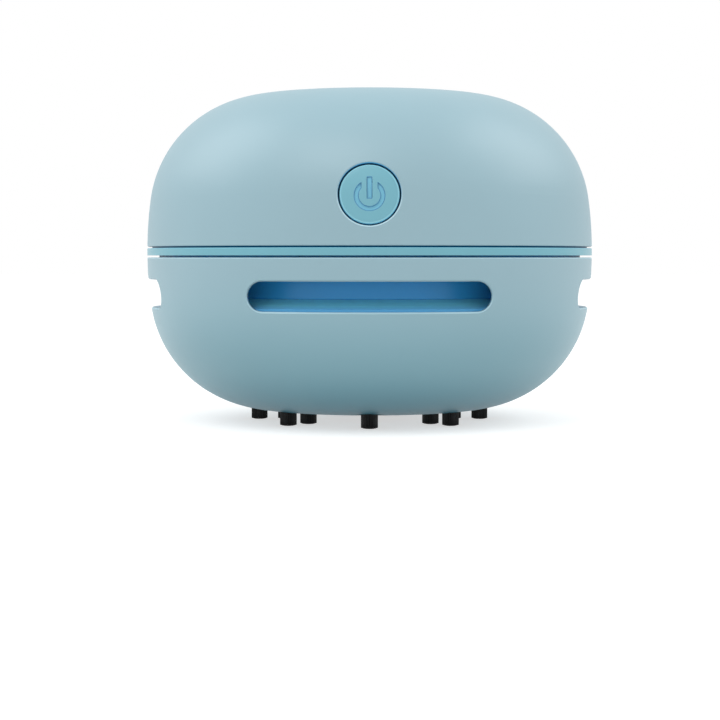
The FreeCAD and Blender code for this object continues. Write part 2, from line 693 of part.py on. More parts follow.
def housing_screws():
    head_z = deck_top_z + LUG_THICKNESS
    return [at(screw(HOUSING_SCREW_LENGTH), place + Vector(0, 0, head_z)) for place in lug_places()]


def blade_wire(offset):
    """Centre line of a backward-curved blade as an arc, moved sideways by half a thickness."""
    points = []
    for share in (0.0, 0.5, 1.0):
        radius = BLADE_INNER_RADIUS + share * (impeller_r - BLADE_INNER_RADIUS)
        sideways = math.degrees(offset / radius)
        points.append(polar(radius, sideways - BLADE_SWEEP * share ** BLADE_CURL))
    return points


def blade():
    near = blade_wire(-BLADE_THICKNESS / 2)
    far = blade_wire(BLADE_THICKNESS / 2)
    edges = [Part.Arc(*near).toShape(), Part.makeLine(near[2], far[2]),
             Part.Arc(*far).toShape(), Part.makeLine(far[0], near[0])]
    section = Part.Face(Part.Wire(Part.__sortEdges__(edges)))
    section.translate(Vector(0, 0, blade_low_z))
    return section.extrude(Vector(0, 0, BLADE_HEIGHT + BACKPLATE_THICKNESS / 2))


def impeller():
    hub_low_z = backplate_top_z - HUB_LENGTH
    body = turned(((SHAFT_RADIUS, hub_low_z), (HUB_RADIUS, hub_low_z),
                   (HUB_RADIUS, backplate_low_z - HUB_FLARE),
                   (HUB_RADIUS + HUB_FLARE, backplate_low_z), (impeller_r, backplate_low_z),
                   (impeller_r, backplate_top_z), (SHAFT_RADIUS, backplate_top_z)))
    return joined([body] + turned_copies(blade(), evenly(BLADE_COUNT)))


def motor_shaft():
    return disc(SHAFT_RADIUS, backplate_top_z - HUB_LENGTH, end_bell_top_z - SHAFT_END_INSET)


def motor_can():
    bore_r = SHAFT_RADIUS + CAN_BORE_CLEARANCE
    seat_z = roof_top_z + BUSH_SEAT
    can = turned(((bore_r, seat_z), (BUSH_RADIUS, seat_z), (BUSH_RADIUS, roof_top_z),
                  (MOTOR_RADIUS, roof_top_z), (MOTOR_RADIUS, motor_top_z - CAN_EDGE_BREAK),
                  (MOTOR_RADIUS - CAN_EDGE_BREAK, motor_top_z), (bore_r, motor_top_z)))
    for place in motor_screw_places():
        tip = roof_low_z + MOTOR_SCREW_LENGTH
        can = can.cut(disc(SCREW_SHANK_RADIUS + FIT_GAP, roof_top_z, tip, place))
    return can


def end_bell():
    return ring(BUSH_RADIUS, MOTOR_RADIUS - END_BELL_INSET, motor_top_z, end_bell_top_z)


def bush(z_low, z_high):
    return ring(SHAFT_RADIUS + SHAFT_CLEARANCE, BUSH_RADIUS, z_low, z_high)


def motor_screws():
    upward = upside_down(screw(MOTOR_SCREW_LENGTH, MOTOR_SCREW_HEAD_HEIGHT))
    return [at(upward, place + Vector(0, 0, roof_low_z)) for place in motor_screw_places()]


def motor_terminals():
    tabs = []
    for side in (-1, 1):
        x = side * TERMINAL_SPACING / 2
        tabs.append(block(x - TERMINAL_THICKNESS / 2, x + TERMINAL_THICKNESS / 2, -TERMINAL_WIDTH / 2,
                          TERMINAL_WIDTH / 2, end_bell_top_z, end_bell_top_z + TERMINAL_HEIGHT))
    return tabs


# ---- battery ----------------------------------------------------------------------------------------
def bar_along_x(radius, x_low, x_high):
    return Part.makeCylinder(radius, x_high - x_low, Vector(x_low, battery_y, battery_z), Vector(1, 0, 0))


def battery_cell():
    half = BATTERY_LENGTH / 2
    shoulder = half - BATTERY_TERMINAL_HEIGHT
    cell = bar_along_x(BATTERY_RADIUS, -half, shoulder)
    return cell.fuse(bar_along_x(BATTERY_TERMINAL_RADIUS, shoulder, half))


def leg(side, x_reach, z_high):
    """A block on the deck from the cradle's end wall outwards, on one side."""
    x_inner = side * leg_inner_x
    x_outer = side * (BATTERY_LENGTH / 2 + x_reach)
    return block(min(x_inner, x_outer), max(x_inner, x_outer), battery_y - LEG_DEPTH / 2,
                 battery_y + LEG_DEPTH / 2, deck_top_z, z_high)


def battery_holder():
    half = BATTERY_LENGTH / 2 + FIT_GAP
    wall_end = half + CRADLE_END_WALL
    trough = bar_along_x(BATTERY_RADIUS + CRADLE_WALL, -wall_end, wall_end)
    pieces = [trough.common(block(-FAR, FAR, 0, FAR, 0, battery_z))]
    for side in (-1, 1):
        pieces.append(leg(side, LEG_WIDTH, battery_z - BATTERY_RADIUS / 2))
        pieces.append(leg(side, LEG_WIDTH + TAB_LENGTH, deck_top_z + TAB_THICKNESS))
    holder = joined(pieces).cut(bar_along_x(BATTERY_RADIUS + FIT_GAP, -half, half))
    for tab in tab_places():
        holder = holder.cut(disc(SCREW_SHANK_RADIUS + FIT_GAP, deck_top_z, deck_top_z + TAB_THICKNESS, tab))
    return holder


def holder_screws():
    head_z = deck_top_z + TAB_THICKNESS
    return [at(screw(HOLDER_SCREW_LENGTH), place + Vector(0, 0, head_z)) for place in tab_places()]


# ---- charging electronics ----------------------------------------------------------------------------
def control_board():
    board = block(-BOARD_WIDTH / 2, BOARD_WIDTH / 2, board_front_y, board_front_y + BOARD_DEPTH,
                  board_low_z, board_top_z)
    chip_y = board_front_y + CHIP_MARGIN
    chip = block(-CHIP_WIDTH / 2, CHIP_WIDTH / 2, chip_y, chip_y + CHIP_DEPTH,
                 board_top_z, board_top_z + CHIP_HEIGHT)
    board = board.fuse(chip)
    for place in standoff_places():
        board = board.cut(disc(SCREW_SHANK_RADIUS + FIT_GAP, board_low_z, board_top_z, place))
    return board


def board_screws():
    return [at(screw(BOARD_SCREW_LENGTH), place + Vector(0, 0, board_top_z)) for place in standoff_places()]


def socket_section(margin):
    """The charging socket's mouth: wider at its top than at its bottom, in the XZ plane."""
    top = SOCKET_WIDTH / 2 - margin
    bottom = top - SOCKET_TAPER
    low = board_top_z + margin
    high = board_top_z + SOCKET_HEIGHT - margin
    middle = (low + high) / 2
    corners = [Vector(-bottom, 0, low), Vector(bottom, 0, low), Vector(top, 0, middle),
               Vector(top, 0, high), Vector(-top, 0, high), Vector(-top, 0, middle)]
    return Part.Face(Part.makePolygon(corners + corners[:1]))


def usb_socket():
    face_y = form_radius(socket_mid_z) - SOCKET_RECESS
    back_y = face_y - SOCKET_DEPTH
    shell = at(socket_section(0).extrude(Vector(0, SOCKET_DEPTH, 0)), Vector(0, back_y, 0))
    mouth = socket_section(SOCKET_WALL).extrude(Vector(0, SOCKET_DEPTH, 0))
    mouth = at(mouth, Vector(0, back_y + SOCKET_BACK, 0))
    tongue = block(-SOCKET_TONGUE_WIDTH / 2, SOCKET_TONGUE_WIDTH / 2, back_y, face_y - 2 * SOCKET_WALL,
                   socket_mid_z, socket_mid_z + SOCKET_TONGUE)
    return shell.cut(mouth).fuse(tongue)


# ---- power button --------------------------------------------------------------------------------------
def power_button():
    shaft = Part.makeCylinder(BUTTON_RADIUS, flange_back + BUTTON_RADIUS, Vector(0, 0, -flange_back))
    cap = on_button_axis(shaft).common(form(BUTTON_SINK))
    cap = bevelled(cap, BUTTON_EDGE_BREAK, lambda edge: on_button_rim(edge, BUTTON_RADIUS))
    flange = Part.makeCylinder(flange_r, FLANGE_THICKNESS, Vector(0, 0, -flange_back))
    stem = Part.makeCylinder(STEM_RADIUS, STEM_LENGTH, Vector(0, 0, -stem_end))
    return joined([cap, on_button_axis(flange), on_button_axis(stem)])


def switch_plunger():
    half = PLUNGER_SIDE / 2
    plunger = block(-half, half, -half, half, -stem_end - PLUNGER_LENGTH, -stem_end)
    return on_button_axis(plunger)


def power_switch():
    half = SWITCH_SIDE / 2
    body = block(-half, half, -half, half, -switch_back, -switch_face)
    throat = PLUNGER_SIDE / 2 + PLUNGER_GAP
    depth = stem_end + PLUNGER_LENGTH + BUTTON_TRAVEL + SWITCH_STOP_GAP
    body = body.cut(block(-throat, throat, -throat, throat, -depth, -switch_face))
    return on_button_axis(body)


def switch_board():
    half_width = SWITCH_BOARD_WIDTH / 2
    half_height = SWITCH_BOARD_HEIGHT / 2
    back = switch_back + BOARD_THICKNESS
    board = block(-half_width, half_width, -half_height, half_height, -back, -switch_back)
    for foot in switch_feet(back):
        board = board.cut(Part.makeCylinder(SCREW_SHANK_RADIUS + FIT_GAP, BOARD_THICKNESS, foot))
    return on_button_axis(board)


def switch_screws():
    inward_head = upside_down(screw(SWITCH_SCREW_LENGTH))
    return [on_button_axis(at(inward_head, foot)) for foot in switch_feet(switch_back + BOARD_THICKNESS)]


# ---- filter ----------------------------------------------------------------------------------------------
def filter_frame():
    flange_outer_r = cup_inner_r - FILTER_SIDE_GAP
    neck_outer = EYE_COLLAR_RADIUS - FIT_GAP
    neck_inner = neck_outer - FILTER_NECK_WALL
    flange_low_z = collar_low_z - FILTER_FLANGE_THICKNESS
    pieces = [
        ring(neck_inner, flange_outer_r, flange_low_z, collar_low_z),
        ring(neck_inner, neck_outer, flange_low_z, collar_low_z + FILTER_NECK_LENGTH),
        disc(flange_outer_r, filter_low_z, filter_low_z + FILTER_CAP_THICKNESS),
    ]
    post_outer_r = flange_outer_r - FILTER_POST_INSET
    half = FILTER_POST_WIDTH / 2
    post = block(post_outer_r - FILTER_POST_DEPTH, post_outer_r, -half, half, filter_low_z, collar_low_z)
    pieces += turned_copies(post, evenly(FILTER_POST_COUNT, 180.0 / FILTER_POST_COUNT))
    return joined(pieces)


def filter_media():
    """A pleated ring: a star outline round a plain bore."""
    tip_r = cup_inner_r - FILTER_SIDE_GAP - FILTER_POST_INSET - FILTER_POST_DEPTH - FIT_GAP
    root_r = tip_r - PLEAT_DEPTH
    corners = []
    for index, angle in enumerate(evenly(2 * PLEAT_COUNT)):
        corners.append(polar((tip_r, root_r)[index % 2], angle))
    z_low = filter_low_z + FILTER_CAP_THICKNESS
    star = Part.Face(Part.makePolygon(corners + corners[:1]))
    star.translate(Vector(0, 0, z_low))
    height = collar_low_z - FILTER_FLANGE_THICKNESS - z_low
    pleats = star.extrude(Vector(0, 0, height))
    return pleats.cut(disc(root_r - PLEAT_ROOT_WALL, z_low, z_low + height))


NODES = {
    "lower_shell": lower_shell,
    "dust_cup": dust_cup,
    "cup_screws": cup_screws,
    "outer_bristle_tufts": lambda: tufts(OUTER_TUFT_RING),
    "inner_bristle_tufts": lambda: tufts(INNER_TUFT_RING),
    "top_cover": top_cover,
    "trim_ring": trim_ring,
    "deck_plate": deck_plate,
    "seal_ring": seal_ring,
    "chassis_screws": chassis_screws,
    "fan_housing": fan_housing,
    "housing_screws": housing_screws,
    "impeller": impeller,
    "motor_shaft": motor_shaft,
    "motor_can": motor_can,
    "motor_end_bell": end_bell,
    "front_bush": lambda: bush(roof_top_z - BUSH_NOSE, roof_top_z + BUSH_SEAT),
    "rear_bush": lambda: bush(motor_top_z, end_bell_top_z),
    "motor_screws": motor_screws,
    "motor_terminals": motor_terminals,
    "battery_cell": battery_cell,
    "battery_holder": battery_holder,
    "holder_screws": holder_screws,
    "control_board": control_board,
    "board_screws": board_screws,
    "usb_socket": usb_socket,
    "power_button": power_button,
    "switch_plunger": switch_plunger,
    "power_switch": power_switch,
    "switch_board": switch_board,
    "switch_screws": switch_screws,
    "filter_frame": filter_frame,
    "filter_media": filter_media,
}

os.makedirs("parts", exist_ok=True)
for name, build in NODES.items():
    shape = build()
    if isinstance(shape, list):
        shape = Part.makeCompound(shape)
    shape.exportStep("parts/" + name + ".step")
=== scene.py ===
"""Looks of a desktop mini vacuum cleaner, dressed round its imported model.

Metres, +Z up, origin on the desk under the body's axis. The power button faces -Y.
"""
import json
import math

import bpy
import numpy
from mathutils import Matrix, Vector


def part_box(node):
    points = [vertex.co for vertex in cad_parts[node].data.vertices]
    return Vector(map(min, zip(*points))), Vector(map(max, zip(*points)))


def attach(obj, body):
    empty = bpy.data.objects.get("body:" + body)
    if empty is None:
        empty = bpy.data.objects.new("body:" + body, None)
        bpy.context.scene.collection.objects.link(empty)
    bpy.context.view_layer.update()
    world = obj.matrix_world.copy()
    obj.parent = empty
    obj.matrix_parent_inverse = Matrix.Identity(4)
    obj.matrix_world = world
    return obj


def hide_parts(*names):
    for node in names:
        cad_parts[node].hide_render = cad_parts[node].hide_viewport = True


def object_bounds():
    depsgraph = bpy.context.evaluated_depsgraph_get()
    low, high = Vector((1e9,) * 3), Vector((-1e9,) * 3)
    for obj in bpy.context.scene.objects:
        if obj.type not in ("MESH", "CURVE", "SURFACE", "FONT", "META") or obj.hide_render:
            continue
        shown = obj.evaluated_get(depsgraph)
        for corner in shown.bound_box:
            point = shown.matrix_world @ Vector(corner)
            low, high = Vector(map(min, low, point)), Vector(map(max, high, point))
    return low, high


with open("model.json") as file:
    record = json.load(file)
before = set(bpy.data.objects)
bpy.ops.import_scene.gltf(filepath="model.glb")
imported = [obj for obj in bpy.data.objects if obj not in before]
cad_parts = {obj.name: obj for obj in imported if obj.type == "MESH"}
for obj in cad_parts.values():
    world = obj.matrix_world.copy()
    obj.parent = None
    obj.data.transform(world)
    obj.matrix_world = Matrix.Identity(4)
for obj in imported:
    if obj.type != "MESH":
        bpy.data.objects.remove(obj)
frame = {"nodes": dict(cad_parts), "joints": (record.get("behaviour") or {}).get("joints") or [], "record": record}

frame_low, frame_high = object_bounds()

MM = 0.001
TOUCH = 0.01 * MM               # places this close count as one
DECIMALS = 5                    # of a metre, as fine as that, for rounding
WELD = 0.001 * MM               # corners this close are merged
UPRIGHT = 0.99                  # a face whose normal rises more than this looks straight up
ROUND_STEPS = 4                 # segments in a rounded rim


def paint(red, green, blue):
    """A display colour, 0 to 255, as the linear colour that shaders use."""
    linear = []
    for value in (red, green, blue):
        share = value / 255
        linear.append(share / 12.92 if share <= 0.04045 else ((share + 0.055) / 1.055) ** 2.4)
    return (*linear, 1.0)


# ---- camera, light and floor ---------------------------------------------------------------------
EYE_HEIGHT = 33.2 * MM
EYE_DISTANCE = 381.9 * MM
EYE_PITCH = 3.17                # degrees downwards
EYE_YAW = 0.29                  # degrees to the left
SENSOR = 36.0                   # its width and the lens in millimetres
LENS = 93.5
NEAREST = 0.01                  # the camera sees what lies between these distances
FURTHEST = 20.0
SKY_STRENGTH = 0.85             # of the light that the sky throws
SEEN_STRENGTH = 1.0             # of the sky that the lens sees, plain white
LAMP_SIZE = 0.5
LAMPS = (                       # name, place and power of each softbox
    ("key", (-0.25, -0.55, 0.75), 1.3),
    ("rim_right", (0.55, 0.1, 0.5), 1.1),
    ("rim_left", (-0.55, 0.1, 0.5), 1.1),
)
FLOOR_SIZE = 6.0
FLOOR_TINT = paint(200, 200, 200)
FLOOR_GLOW = 0.6                # added to what the lens sees of the floor, so that it reaches white

# ---- mouldings -----------------------------------------------------------------------------------
MOTTLE = 0.03                   # how far the cloudy pigment departs from its colour
GRAIN_SCALE = 3800.0            # cells of the spark-eroded grain per metre
GRAIN_DEPTH = 0.006 * MM
GRAIN_ROUGHNESS = 0.08          # how far the roughness varies with the grain

# ---- painted shade on the shells: darker towards the desk round these heights, over these runs ---
FLANK_MIDDLE = 19 * MM
FLANK_RUN = 28 * MM
FLANK_SHADE = paint(124, 177, 191)
FOOT_MIDDLE = 6 * MM
FOOT_RUN = 14 * MM
FOOT_SHADE = paint(38, 134, 155)

# ---- lips: a painted highlight, a lighter tint on edges that face the light ----------------------
LIP_WIDTH = 0.25 * MM
LIP_SOFTNESS = 0.1 * MM
LIP_HIGHLIGHT = paint(172, 210, 222)
BOWL_RIM = 33.0 * MM
BAND_EDGE = 34.7 * MM           # from here up the band's own edge is broken, and takes a painted highlight
BAND_EDGE_HIGHLIGHT = paint(126, 200, 222)

# ---- exhaust slots -------------------------------------------------------------------------------
SLOT_MIDDLE = 25.85 * MM        # height of their middle
SLOT_END = 2.8 * MM             # radius of their round ends
FRONT_SLOT_LENGTH = 45.0 * MM
SIDE_SLOT_LENGTH = 36.6 * MM
BODY_SIDE = 30 * MM             # their lips lie further out than this

# ---- narrow gaps: painted shade, a dark tint that their walls mirror in place of white -----------
GROOVE_LOW = 34.8 * MM          # the groove over the band
GROOVE_HIGH = 35.17 * MM        # a little way up the cover's broken edge
GROOVE_SHADE = paint(16, 80, 116)
HOLE_RADIUS = 5.75 * MM         # the button's hole in the cover
# painted highlight on the lower half of the hole's lip, which faces the light
HOLE_LIP_HIGHLIGHT = paint(196, 226, 236)
# painted shade: the hole's wall is tinted and mirrors that tint, so the gap round the cap looks dark
HOLE_WALL_SHADE = paint(60, 156, 204)
# painted shade: a tint that the cap's side mirrors, so the gap round the cap looks navy
CAP_WALL_SHADE = paint(136, 224, 255)
WALL_SOFTNESS = 0.03 * MM       # run over which the walls of the hole and of the cap begin
WALL_MIRROR = 0.6               # how far those two walls mirror; the groove's do so fully

# ---- the dust cup, seen through the slots: painted light between their ends and on its deflector ---
CUP_CORNER = 18 * MM            # past this in both directions the cup lies between two slots
CUP_CORNER_RUN = 8 * MM
CUP_CORNER_LIGHT = paint(70, 192, 255)
DEFLECTOR_RADIUS = 36.4 * MM    # the deflector lies outside this radius and below this height
DEFLECTOR_TOP = 27 * MM
DEFLECTOR_SOFTNESS = 0.4 * MM
DEFLECTOR_LIGHT = paint(142, 242, 255)
DEFLECTOR_EDGE = 41 * MM        # painted shade darkens it towards its outer edge, round this radius
DEFLECTOR_EDGE_RUN = 5 * MM
DEFLECTOR_EDGE_SHADE = paint(94, 172, 236)

# ---- the button's cap ----------------------------------------------------------------------------
CAP_RADIUS = 5.45 * MM
CAP_BEVEL = 0.3 * MM            # rounding of its rim
# painted highlight on the cap's rounded rim
CAP_BEVEL_HIGHLIGHT = paint(148, 213, 229)
CAP_DEPTH = 1.5 * MM
ROUND_SIDES = 96                # sides of a round piece, a multiple of four for the cap's square grid
CAP_RINGS = 3                   # rings of faces round that grid in the middle of its face
CAP_GRID_RADIUS = 3.4 * MM
# powers of across and of up in its face's curve
FACE_POWERS = ((0, 0), (0, 1), (2, 0), (0, 2), (2, 1), (0, 3), (0, 4))

# ---- power symbol --------------------------------------------------------------------------------
SYMBOL_OUTER = 2.8 * MM
SYMBOL_INNER = 2.0 * MM
SYMBOL_DROP = 0.3 * MM          # centre of the broken circle below the button's centre
SYMBOL_OPENING = 3.0 * MM
SYMBOL_BAR_WIDTH = 0.9 * MM
SYMBOL_BAR_TOP = 3.1 * MM
SYMBOL_BAR_FOOT = -0.85 * MM
SYMBOL_DEPTH = 0.4 * MM
SYMBOL_SOFTNESS = 0.2 * MM      # run over which the painted shade of its groove fades
# painted shade: a bluer tint in the sunk groove, and darker along its edges
SYMBOL_SHADE = paint(130, 207, 231)
SYMBOL_EDGE_SHADE = paint(62, 134, 184)

# ---- charging socket -----------------------------------------------------------------------------
TONGUE_WIDTH = 3.9 * MM
TONGUE_HEIGHT = 0.7 * MM
TONGUE_MARGIN = 0.02 * MM       # its black reaches this far past its faces, and fades over as much
TONGUE_TINT = paint(18, 18, 20)
CONTACT_PITCH = 0.65 * MM
CONTACT_REACH = 0.28            # half a contact's width, as a share of the pitch
CONTACT_SOFTNESS = 0.06
CONTACT_TOP = 0.03 * MM         # the gilt ends this far above the tongue's underside
CONTACT_TINT = paint(214, 176, 96)

# ---- bristles ------------------------------------------------------------------------------------
FILAMENT_RADIUS = 0.165 * MM
FILAMENT_RINGS = 5
FILAMENT_SIDES = 6
TUFT_DOME = 0.2 * MM            # how much shorter the outermost filaments of a tuft are
TIP_HEIGHT = 0.9 * MM           # below about this height their cut tips are duller
TIP_RUN = 0.8 * MM

# ---- screw heads ---------------------------------------------------------------------------------
HEAD_SIDES = 48
SHANK_SIDES = 24
RECESS_LENGTH = 2.1 * MM
RECESS_WIDTH = 0.5 * MM
RECESS_DEPTH = 0.7 * MM
FIRST_TURN = 0.4                # radians: each screw stopped at a turn of its own
NEXT_TURN = 1.1


# ==== shader building =============================================================================
class Signal:
    """A shader value that Python's operators act on. Each operator adds one Math node."""

    def __init__(self, finish, socket):
        self.finish = finish
        self.socket = socket

    def __add__(self, other):
        return self.finish.maths("ADD", self, other)

    def __sub__(self, other):
        return self.finish.maths("SUBTRACT", self, other)

    def __rsub__(self, other):
        return self.finish.maths("SUBTRACT", other, self)

    def __mul__(self, other):
        return self.finish.maths("MULTIPLY", self, other)

    __radd__ = __add__
    __rmul__ = __mul__

    def size(self):
        return self.finish.maths("ABSOLUTE", self)

    def at_least(self, floor):
        return self.finish.maths("MAXIMUM", self, floor)

    def from_nearest_whole(self):
        """Distance from the nearest whole number."""
        return self.finish.maths("PINGPONG", self, 0.5)

    def reach(self, other):
        """Distance from the origin of the point with these two coordinates."""
        return self.finish.maths("SQRT", self * self + other * other)

    def above(self, edge, width):
        """0 below the edge, 1 above it, with a soft step of this width."""
        step = self.finish.node("ShaderNodeMapRange", {"interpolation_type": "SMOOTHSTEP"}, Value=self,
                                **{"From Min": edge - width / 2, "From Max": edge + width / 2})
        return step.value("Result")

    def between(self, low, high, width):
        """1 between two edges, with soft steps of this width."""
        return self.above(low, width) * (1 - self.above(high, width))


class Built:
    """A node in a finish, with its outputs by name, or by number where two share a name."""

    def __init__(self, finish, node):
        self.finish = finish
        self.node = node

    def value(self, output):
        return Signal(self.finish, self.node.outputs[output])


class Finish:
    """A material in the making: one method adds any node."""

    def __init__(self, name):
        self.material = bpy.data.materials.new(name)
        self.material.use_nodes = True
        self.tree = self.material.node_tree
        self.tree.nodes.clear()
        self.place = self.node("ShaderNodeTexCoord").value("Object")

    def node(self, kind, settings=None, **sockets):
        """Add a node. Sockets go by name, or by number where two share a name."""
        node = self.tree.nodes.new(kind)
        for name, setting in (settings or {}).items():
            setattr(node, name, setting)
        for name, value in sockets.items():
            socket = node.inputs[int(name)] if name.isdigit() else node.inputs[name]
            if isinstance(value, Signal):
                self.tree.links.new(value.socket, socket)
            else:
                socket.default_value = value
        return Built(self, node)

    def maths(self, operation, *values):
        sockets = {str(number): value for number, value in enumerate(values)}
        return self.node("ShaderNodeMath", {"operation": operation}, **sockets).value("Value")

    def noise(self, scale, detail, where=None):
        """A cloudy value from 0 to 1, on the object's own coordinates or on stretched ones."""
        place = where or self.place
        return self.node("ShaderNodeTexNoise", None, Vector=place, Scale=scale, Detail=detail).value("Fac")

    def stretched(self, x, y, z):
        """The object's coordinates scaled apart along each axis."""
        return self.node("ShaderNodeMapping", None, Vector=self.place, Scale=(x, y, z)).value("Vector")

    def axes(self):
        """The object's three coordinates in metres."""
        split = self.node("ShaderNodeSeparateXYZ", None, Vector=self.place)
        return split.value("X"), split.value("Y"), split.value("Z")

    def height(self):
        """Height above the desk in metres."""
        return self.axes()[2]

    def radius(self):
        """Distance from the body's axis in metres."""
        level = self.stretched(1, 1, 0)
        return self.node("ShaderNodeVectorMath", {"operation": "LENGTH"}, **{"0": level}).value("Value")

    def tinted(self, share, low, high):
        """A colour between two by a 0 to 1 value. The numbers are those of a Mix node's colours."""
        mix = self.node("ShaderNodeMix", {"data_type": "RGBA"}, **{"0": share, "6": low, "7": high})
        return mix.value(2)

    def layered(self, base, *layers):
        """A colour with tints laid over it in turn, each as far as its mask says."""
        for mask, tint in layers:
            base = self.tinted(mask, base, tint)
        return base

    def bump(self, relief, depth):
        return self.node("ShaderNodeBump", None, Height=relief, Distance=depth).value("Normal")

    def surface(self, **sockets):
        """End the material with its one shader, and return it."""
        shader = self.node("ShaderNodeBsdfPrincipled", None, **sockets)
        self.node("ShaderNodeOutputMaterial", None, Surface=shader.value("BSDF"))
        return self.material


def shade(colour, factor):
    """A colour made lighter or darker."""
    return (*[min(1.0, channel * factor) for channel in colour[:3]], 1.0)


def grained(finish, roughness):
    """The shader sockets that the fine grain of a moulding feeds."""
    fine = finish.noise(scale=GRAIN_SCALE, detail=2.0)
    return {"Roughness": roughness - GRAIN_ROUGHNESS / 2 + GRAIN_ROUGHNESS * fine,
            "Normal": finish.bump(fine, GRAIN_DEPTH)}


# ==== finishes ====================================================================================
def moulded_plastic(name, colour, roughness, specular=0.5, detail=None):
    """Injection-moulded plastic: a fine spark-eroded grain and a faint cloudiness of the pigment.

    detail is a function of the finish and its base colour. It adds the tints of one moulding, painted light
    and shade among them, and gives that colour and a mask of the walls inside narrow gaps, which mirror their tint
    and not white: painted shade.
    """
    finish = Finish(name)
    cloud = finish.noise(scale=55.0, detail=3.0)
    base = finish.tinted(cloud, shade(colour, 1 - MOTTLE), shade(colour, 1 + MOTTLE))
    gaps = 0.0
    if detail:
        base, gaps = detail(finish, base)
    return finish.surface(**{"Base Color": base, "Metallic": gaps, "Specular IOR Level": specular},
                          **grained(finish, roughness))


def slot_lip(along, across, height, length):
    """1 on the lower lips of a pair of exhaust slots whose long side runs along one axis, for a painted highlight.
    """
    past_straight = (along.size() - (length / 2 - SLOT_END)).at_least(0)
    outwards = past_straight.reach(height - SLOT_MIDDLE) - SLOT_END
    lower = across.size().above(BODY_SIDE, LIP_WIDTH) * (1 - height.above(SLOT_MIDDLE, SLOT_END))
    return outwards.between(0, LIP_WIDTH, LIP_SOFTNESS) * lower


def button_frame():
    """The button's own axes: +Z out of its face, +Y up the cover, origin at the middle of its face."""
    joint = next(joint for joint in frame["joints"] if joint["name"] == "button_press")
    outward = -Vector(joint["axis"]).normalized()
    across = Vector((1, 0, 0))
    upward = outward.cross(across).normalized()
    corners = [vertex.co for vertex in frame["nodes"]["power_button"].data.vertices]
    deepest = min(corner.dot(outward) for corner in corners)
    stem = [corner for corner in corners if corner.dot(outward) < deepest + TOUCH]
    centre = sum(stem, Vector()) / len(stem)
    face = max(corner.dot(outward) for corner in corners)
    origin = centre + outward * (face - deepest)
    turn = Matrix((across, upward, outward)).transposed().to_4x4()
    return Matrix.Translation(origin) @ turn


def button_reach(x, z):
    """Distance from the button's axis, and height above its middle along the cover."""
    place = button_frame()
    up = (z - place.translation.z) * (1 / place.col[1].z)
    return x.reach(up), up


def shell_tints(finish, base):
    """Bowl and cover: painted shade, deeper towards the desk; painted highlights on the lips; navy painted shade
    in narrow gaps.
    """
    x, y, z = finish.axes()
    # painted shade: the pigment deepens towards the desk, where less light falls
    base = finish.tinted(z.above(FLANK_MIDDLE, FLANK_RUN), FLANK_SHADE, base)
    base = finish.tinted(z.above(FOOT_MIDDLE, FOOT_RUN), FOOT_SHADE, base)
    outwards, up = button_reach(x, z)
    front = 1 - y.above(0, LIP_WIDTH)
    # painted highlight on the lower half of the hole's lip only, where it faces up into the light
    lit_lower_half = front * (1 - up.above(0, CAP_RADIUS))
    hole_lip = outwards.between(HOLE_RADIUS, HOLE_RADIUS + LIP_WIDTH, LIP_SOFTNESS) * lit_lower_half
    wall = front * (1 - outwards.above(HOLE_RADIUS + WALL_SOFTNESS, WALL_SOFTNESS))
    groove = z.between(GROOVE_LOW, GROOVE_HIGH, LIP_SOFTNESS)
    # painted highlights on the slots' lower lips, the bowl's rim and the hole's lip; painted shade on the hole's
    # wall and in the groove
    base = finish.layered(base,
                          (slot_lip(x, y, z, FRONT_SLOT_LENGTH), LIP_HIGHLIGHT),
                          (slot_lip(y, x, z, SIDE_SLOT_LENGTH), LIP_HIGHLIGHT),
                          (z.between(BOWL_RIM - LIP_WIDTH, BOWL_RIM + LIP_WIDTH, LIP_SOFTNESS), LIP_HIGHLIGHT),
                          (hole_lip, HOLE_LIP_HIGHLIGHT),
                          (wall, HOLE_WALL_SHADE),
                          (groove, GROOVE_SHADE))
    return base, groove + WALL_MIRROR * wall


def cup_tints(finish, base):
    """Dust cup: painted light, paler between the slots' ends and on its sloping deflector; painted shade at its
    outer edge.
    """
    x, y, z = finish.axes()
    # painted light on the cup between the slots' ends
    corner = x.size().above(CUP_CORNER, CUP_CORNER_RUN) * y.size().above(CUP_CORNER, CUP_CORNER_RUN)
    radius = finish.radius()
    outer = radius.above(DEFLECTOR_EDGE, DEFLECTOR_EDGE_RUN)
    # painted light on the deflector's slope, with painted shade towards its outer edge
    slope = finish.tinted(outer, DEFLECTOR_LIGHT, DEFLECTOR_EDGE_SHADE)
    on_slope = radius.above(DEFLECTOR_RADIUS, DEFLECTOR_SOFTNESS)
    on_slope = on_slope * (1 - z.above(DEFLECTOR_TOP, DEFLECTOR_SOFTNESS))
    return finish.layered(base, (corner, CUP_CORNER_LIGHT), (on_slope, slope)), 0.0


def symbol_mask(across, up):
    """1 inside the power symbol: a circle open at its top, and a bar through the opening."""
    opening = (1 - across.above(SYMBOL_OPENING / 2, SYMBOL_SOFTNESS)) * up.above(0, SYMBOL_SOFTNESS)
    circle = across.reach(up + SYMBOL_DROP).between(SYMBOL_INNER, SYMBOL_OUTER, SYMBOL_SOFTNESS)
    bar = up.between(SYMBOL_BAR_FOOT, SYMBOL_BAR_TOP, SYMBOL_SOFTNESS)
    bar = bar * (1 - across.above(SYMBOL_BAR_WIDTH / 2, SYMBOL_SOFTNESS))
    return circle * (1 - opening) + bar


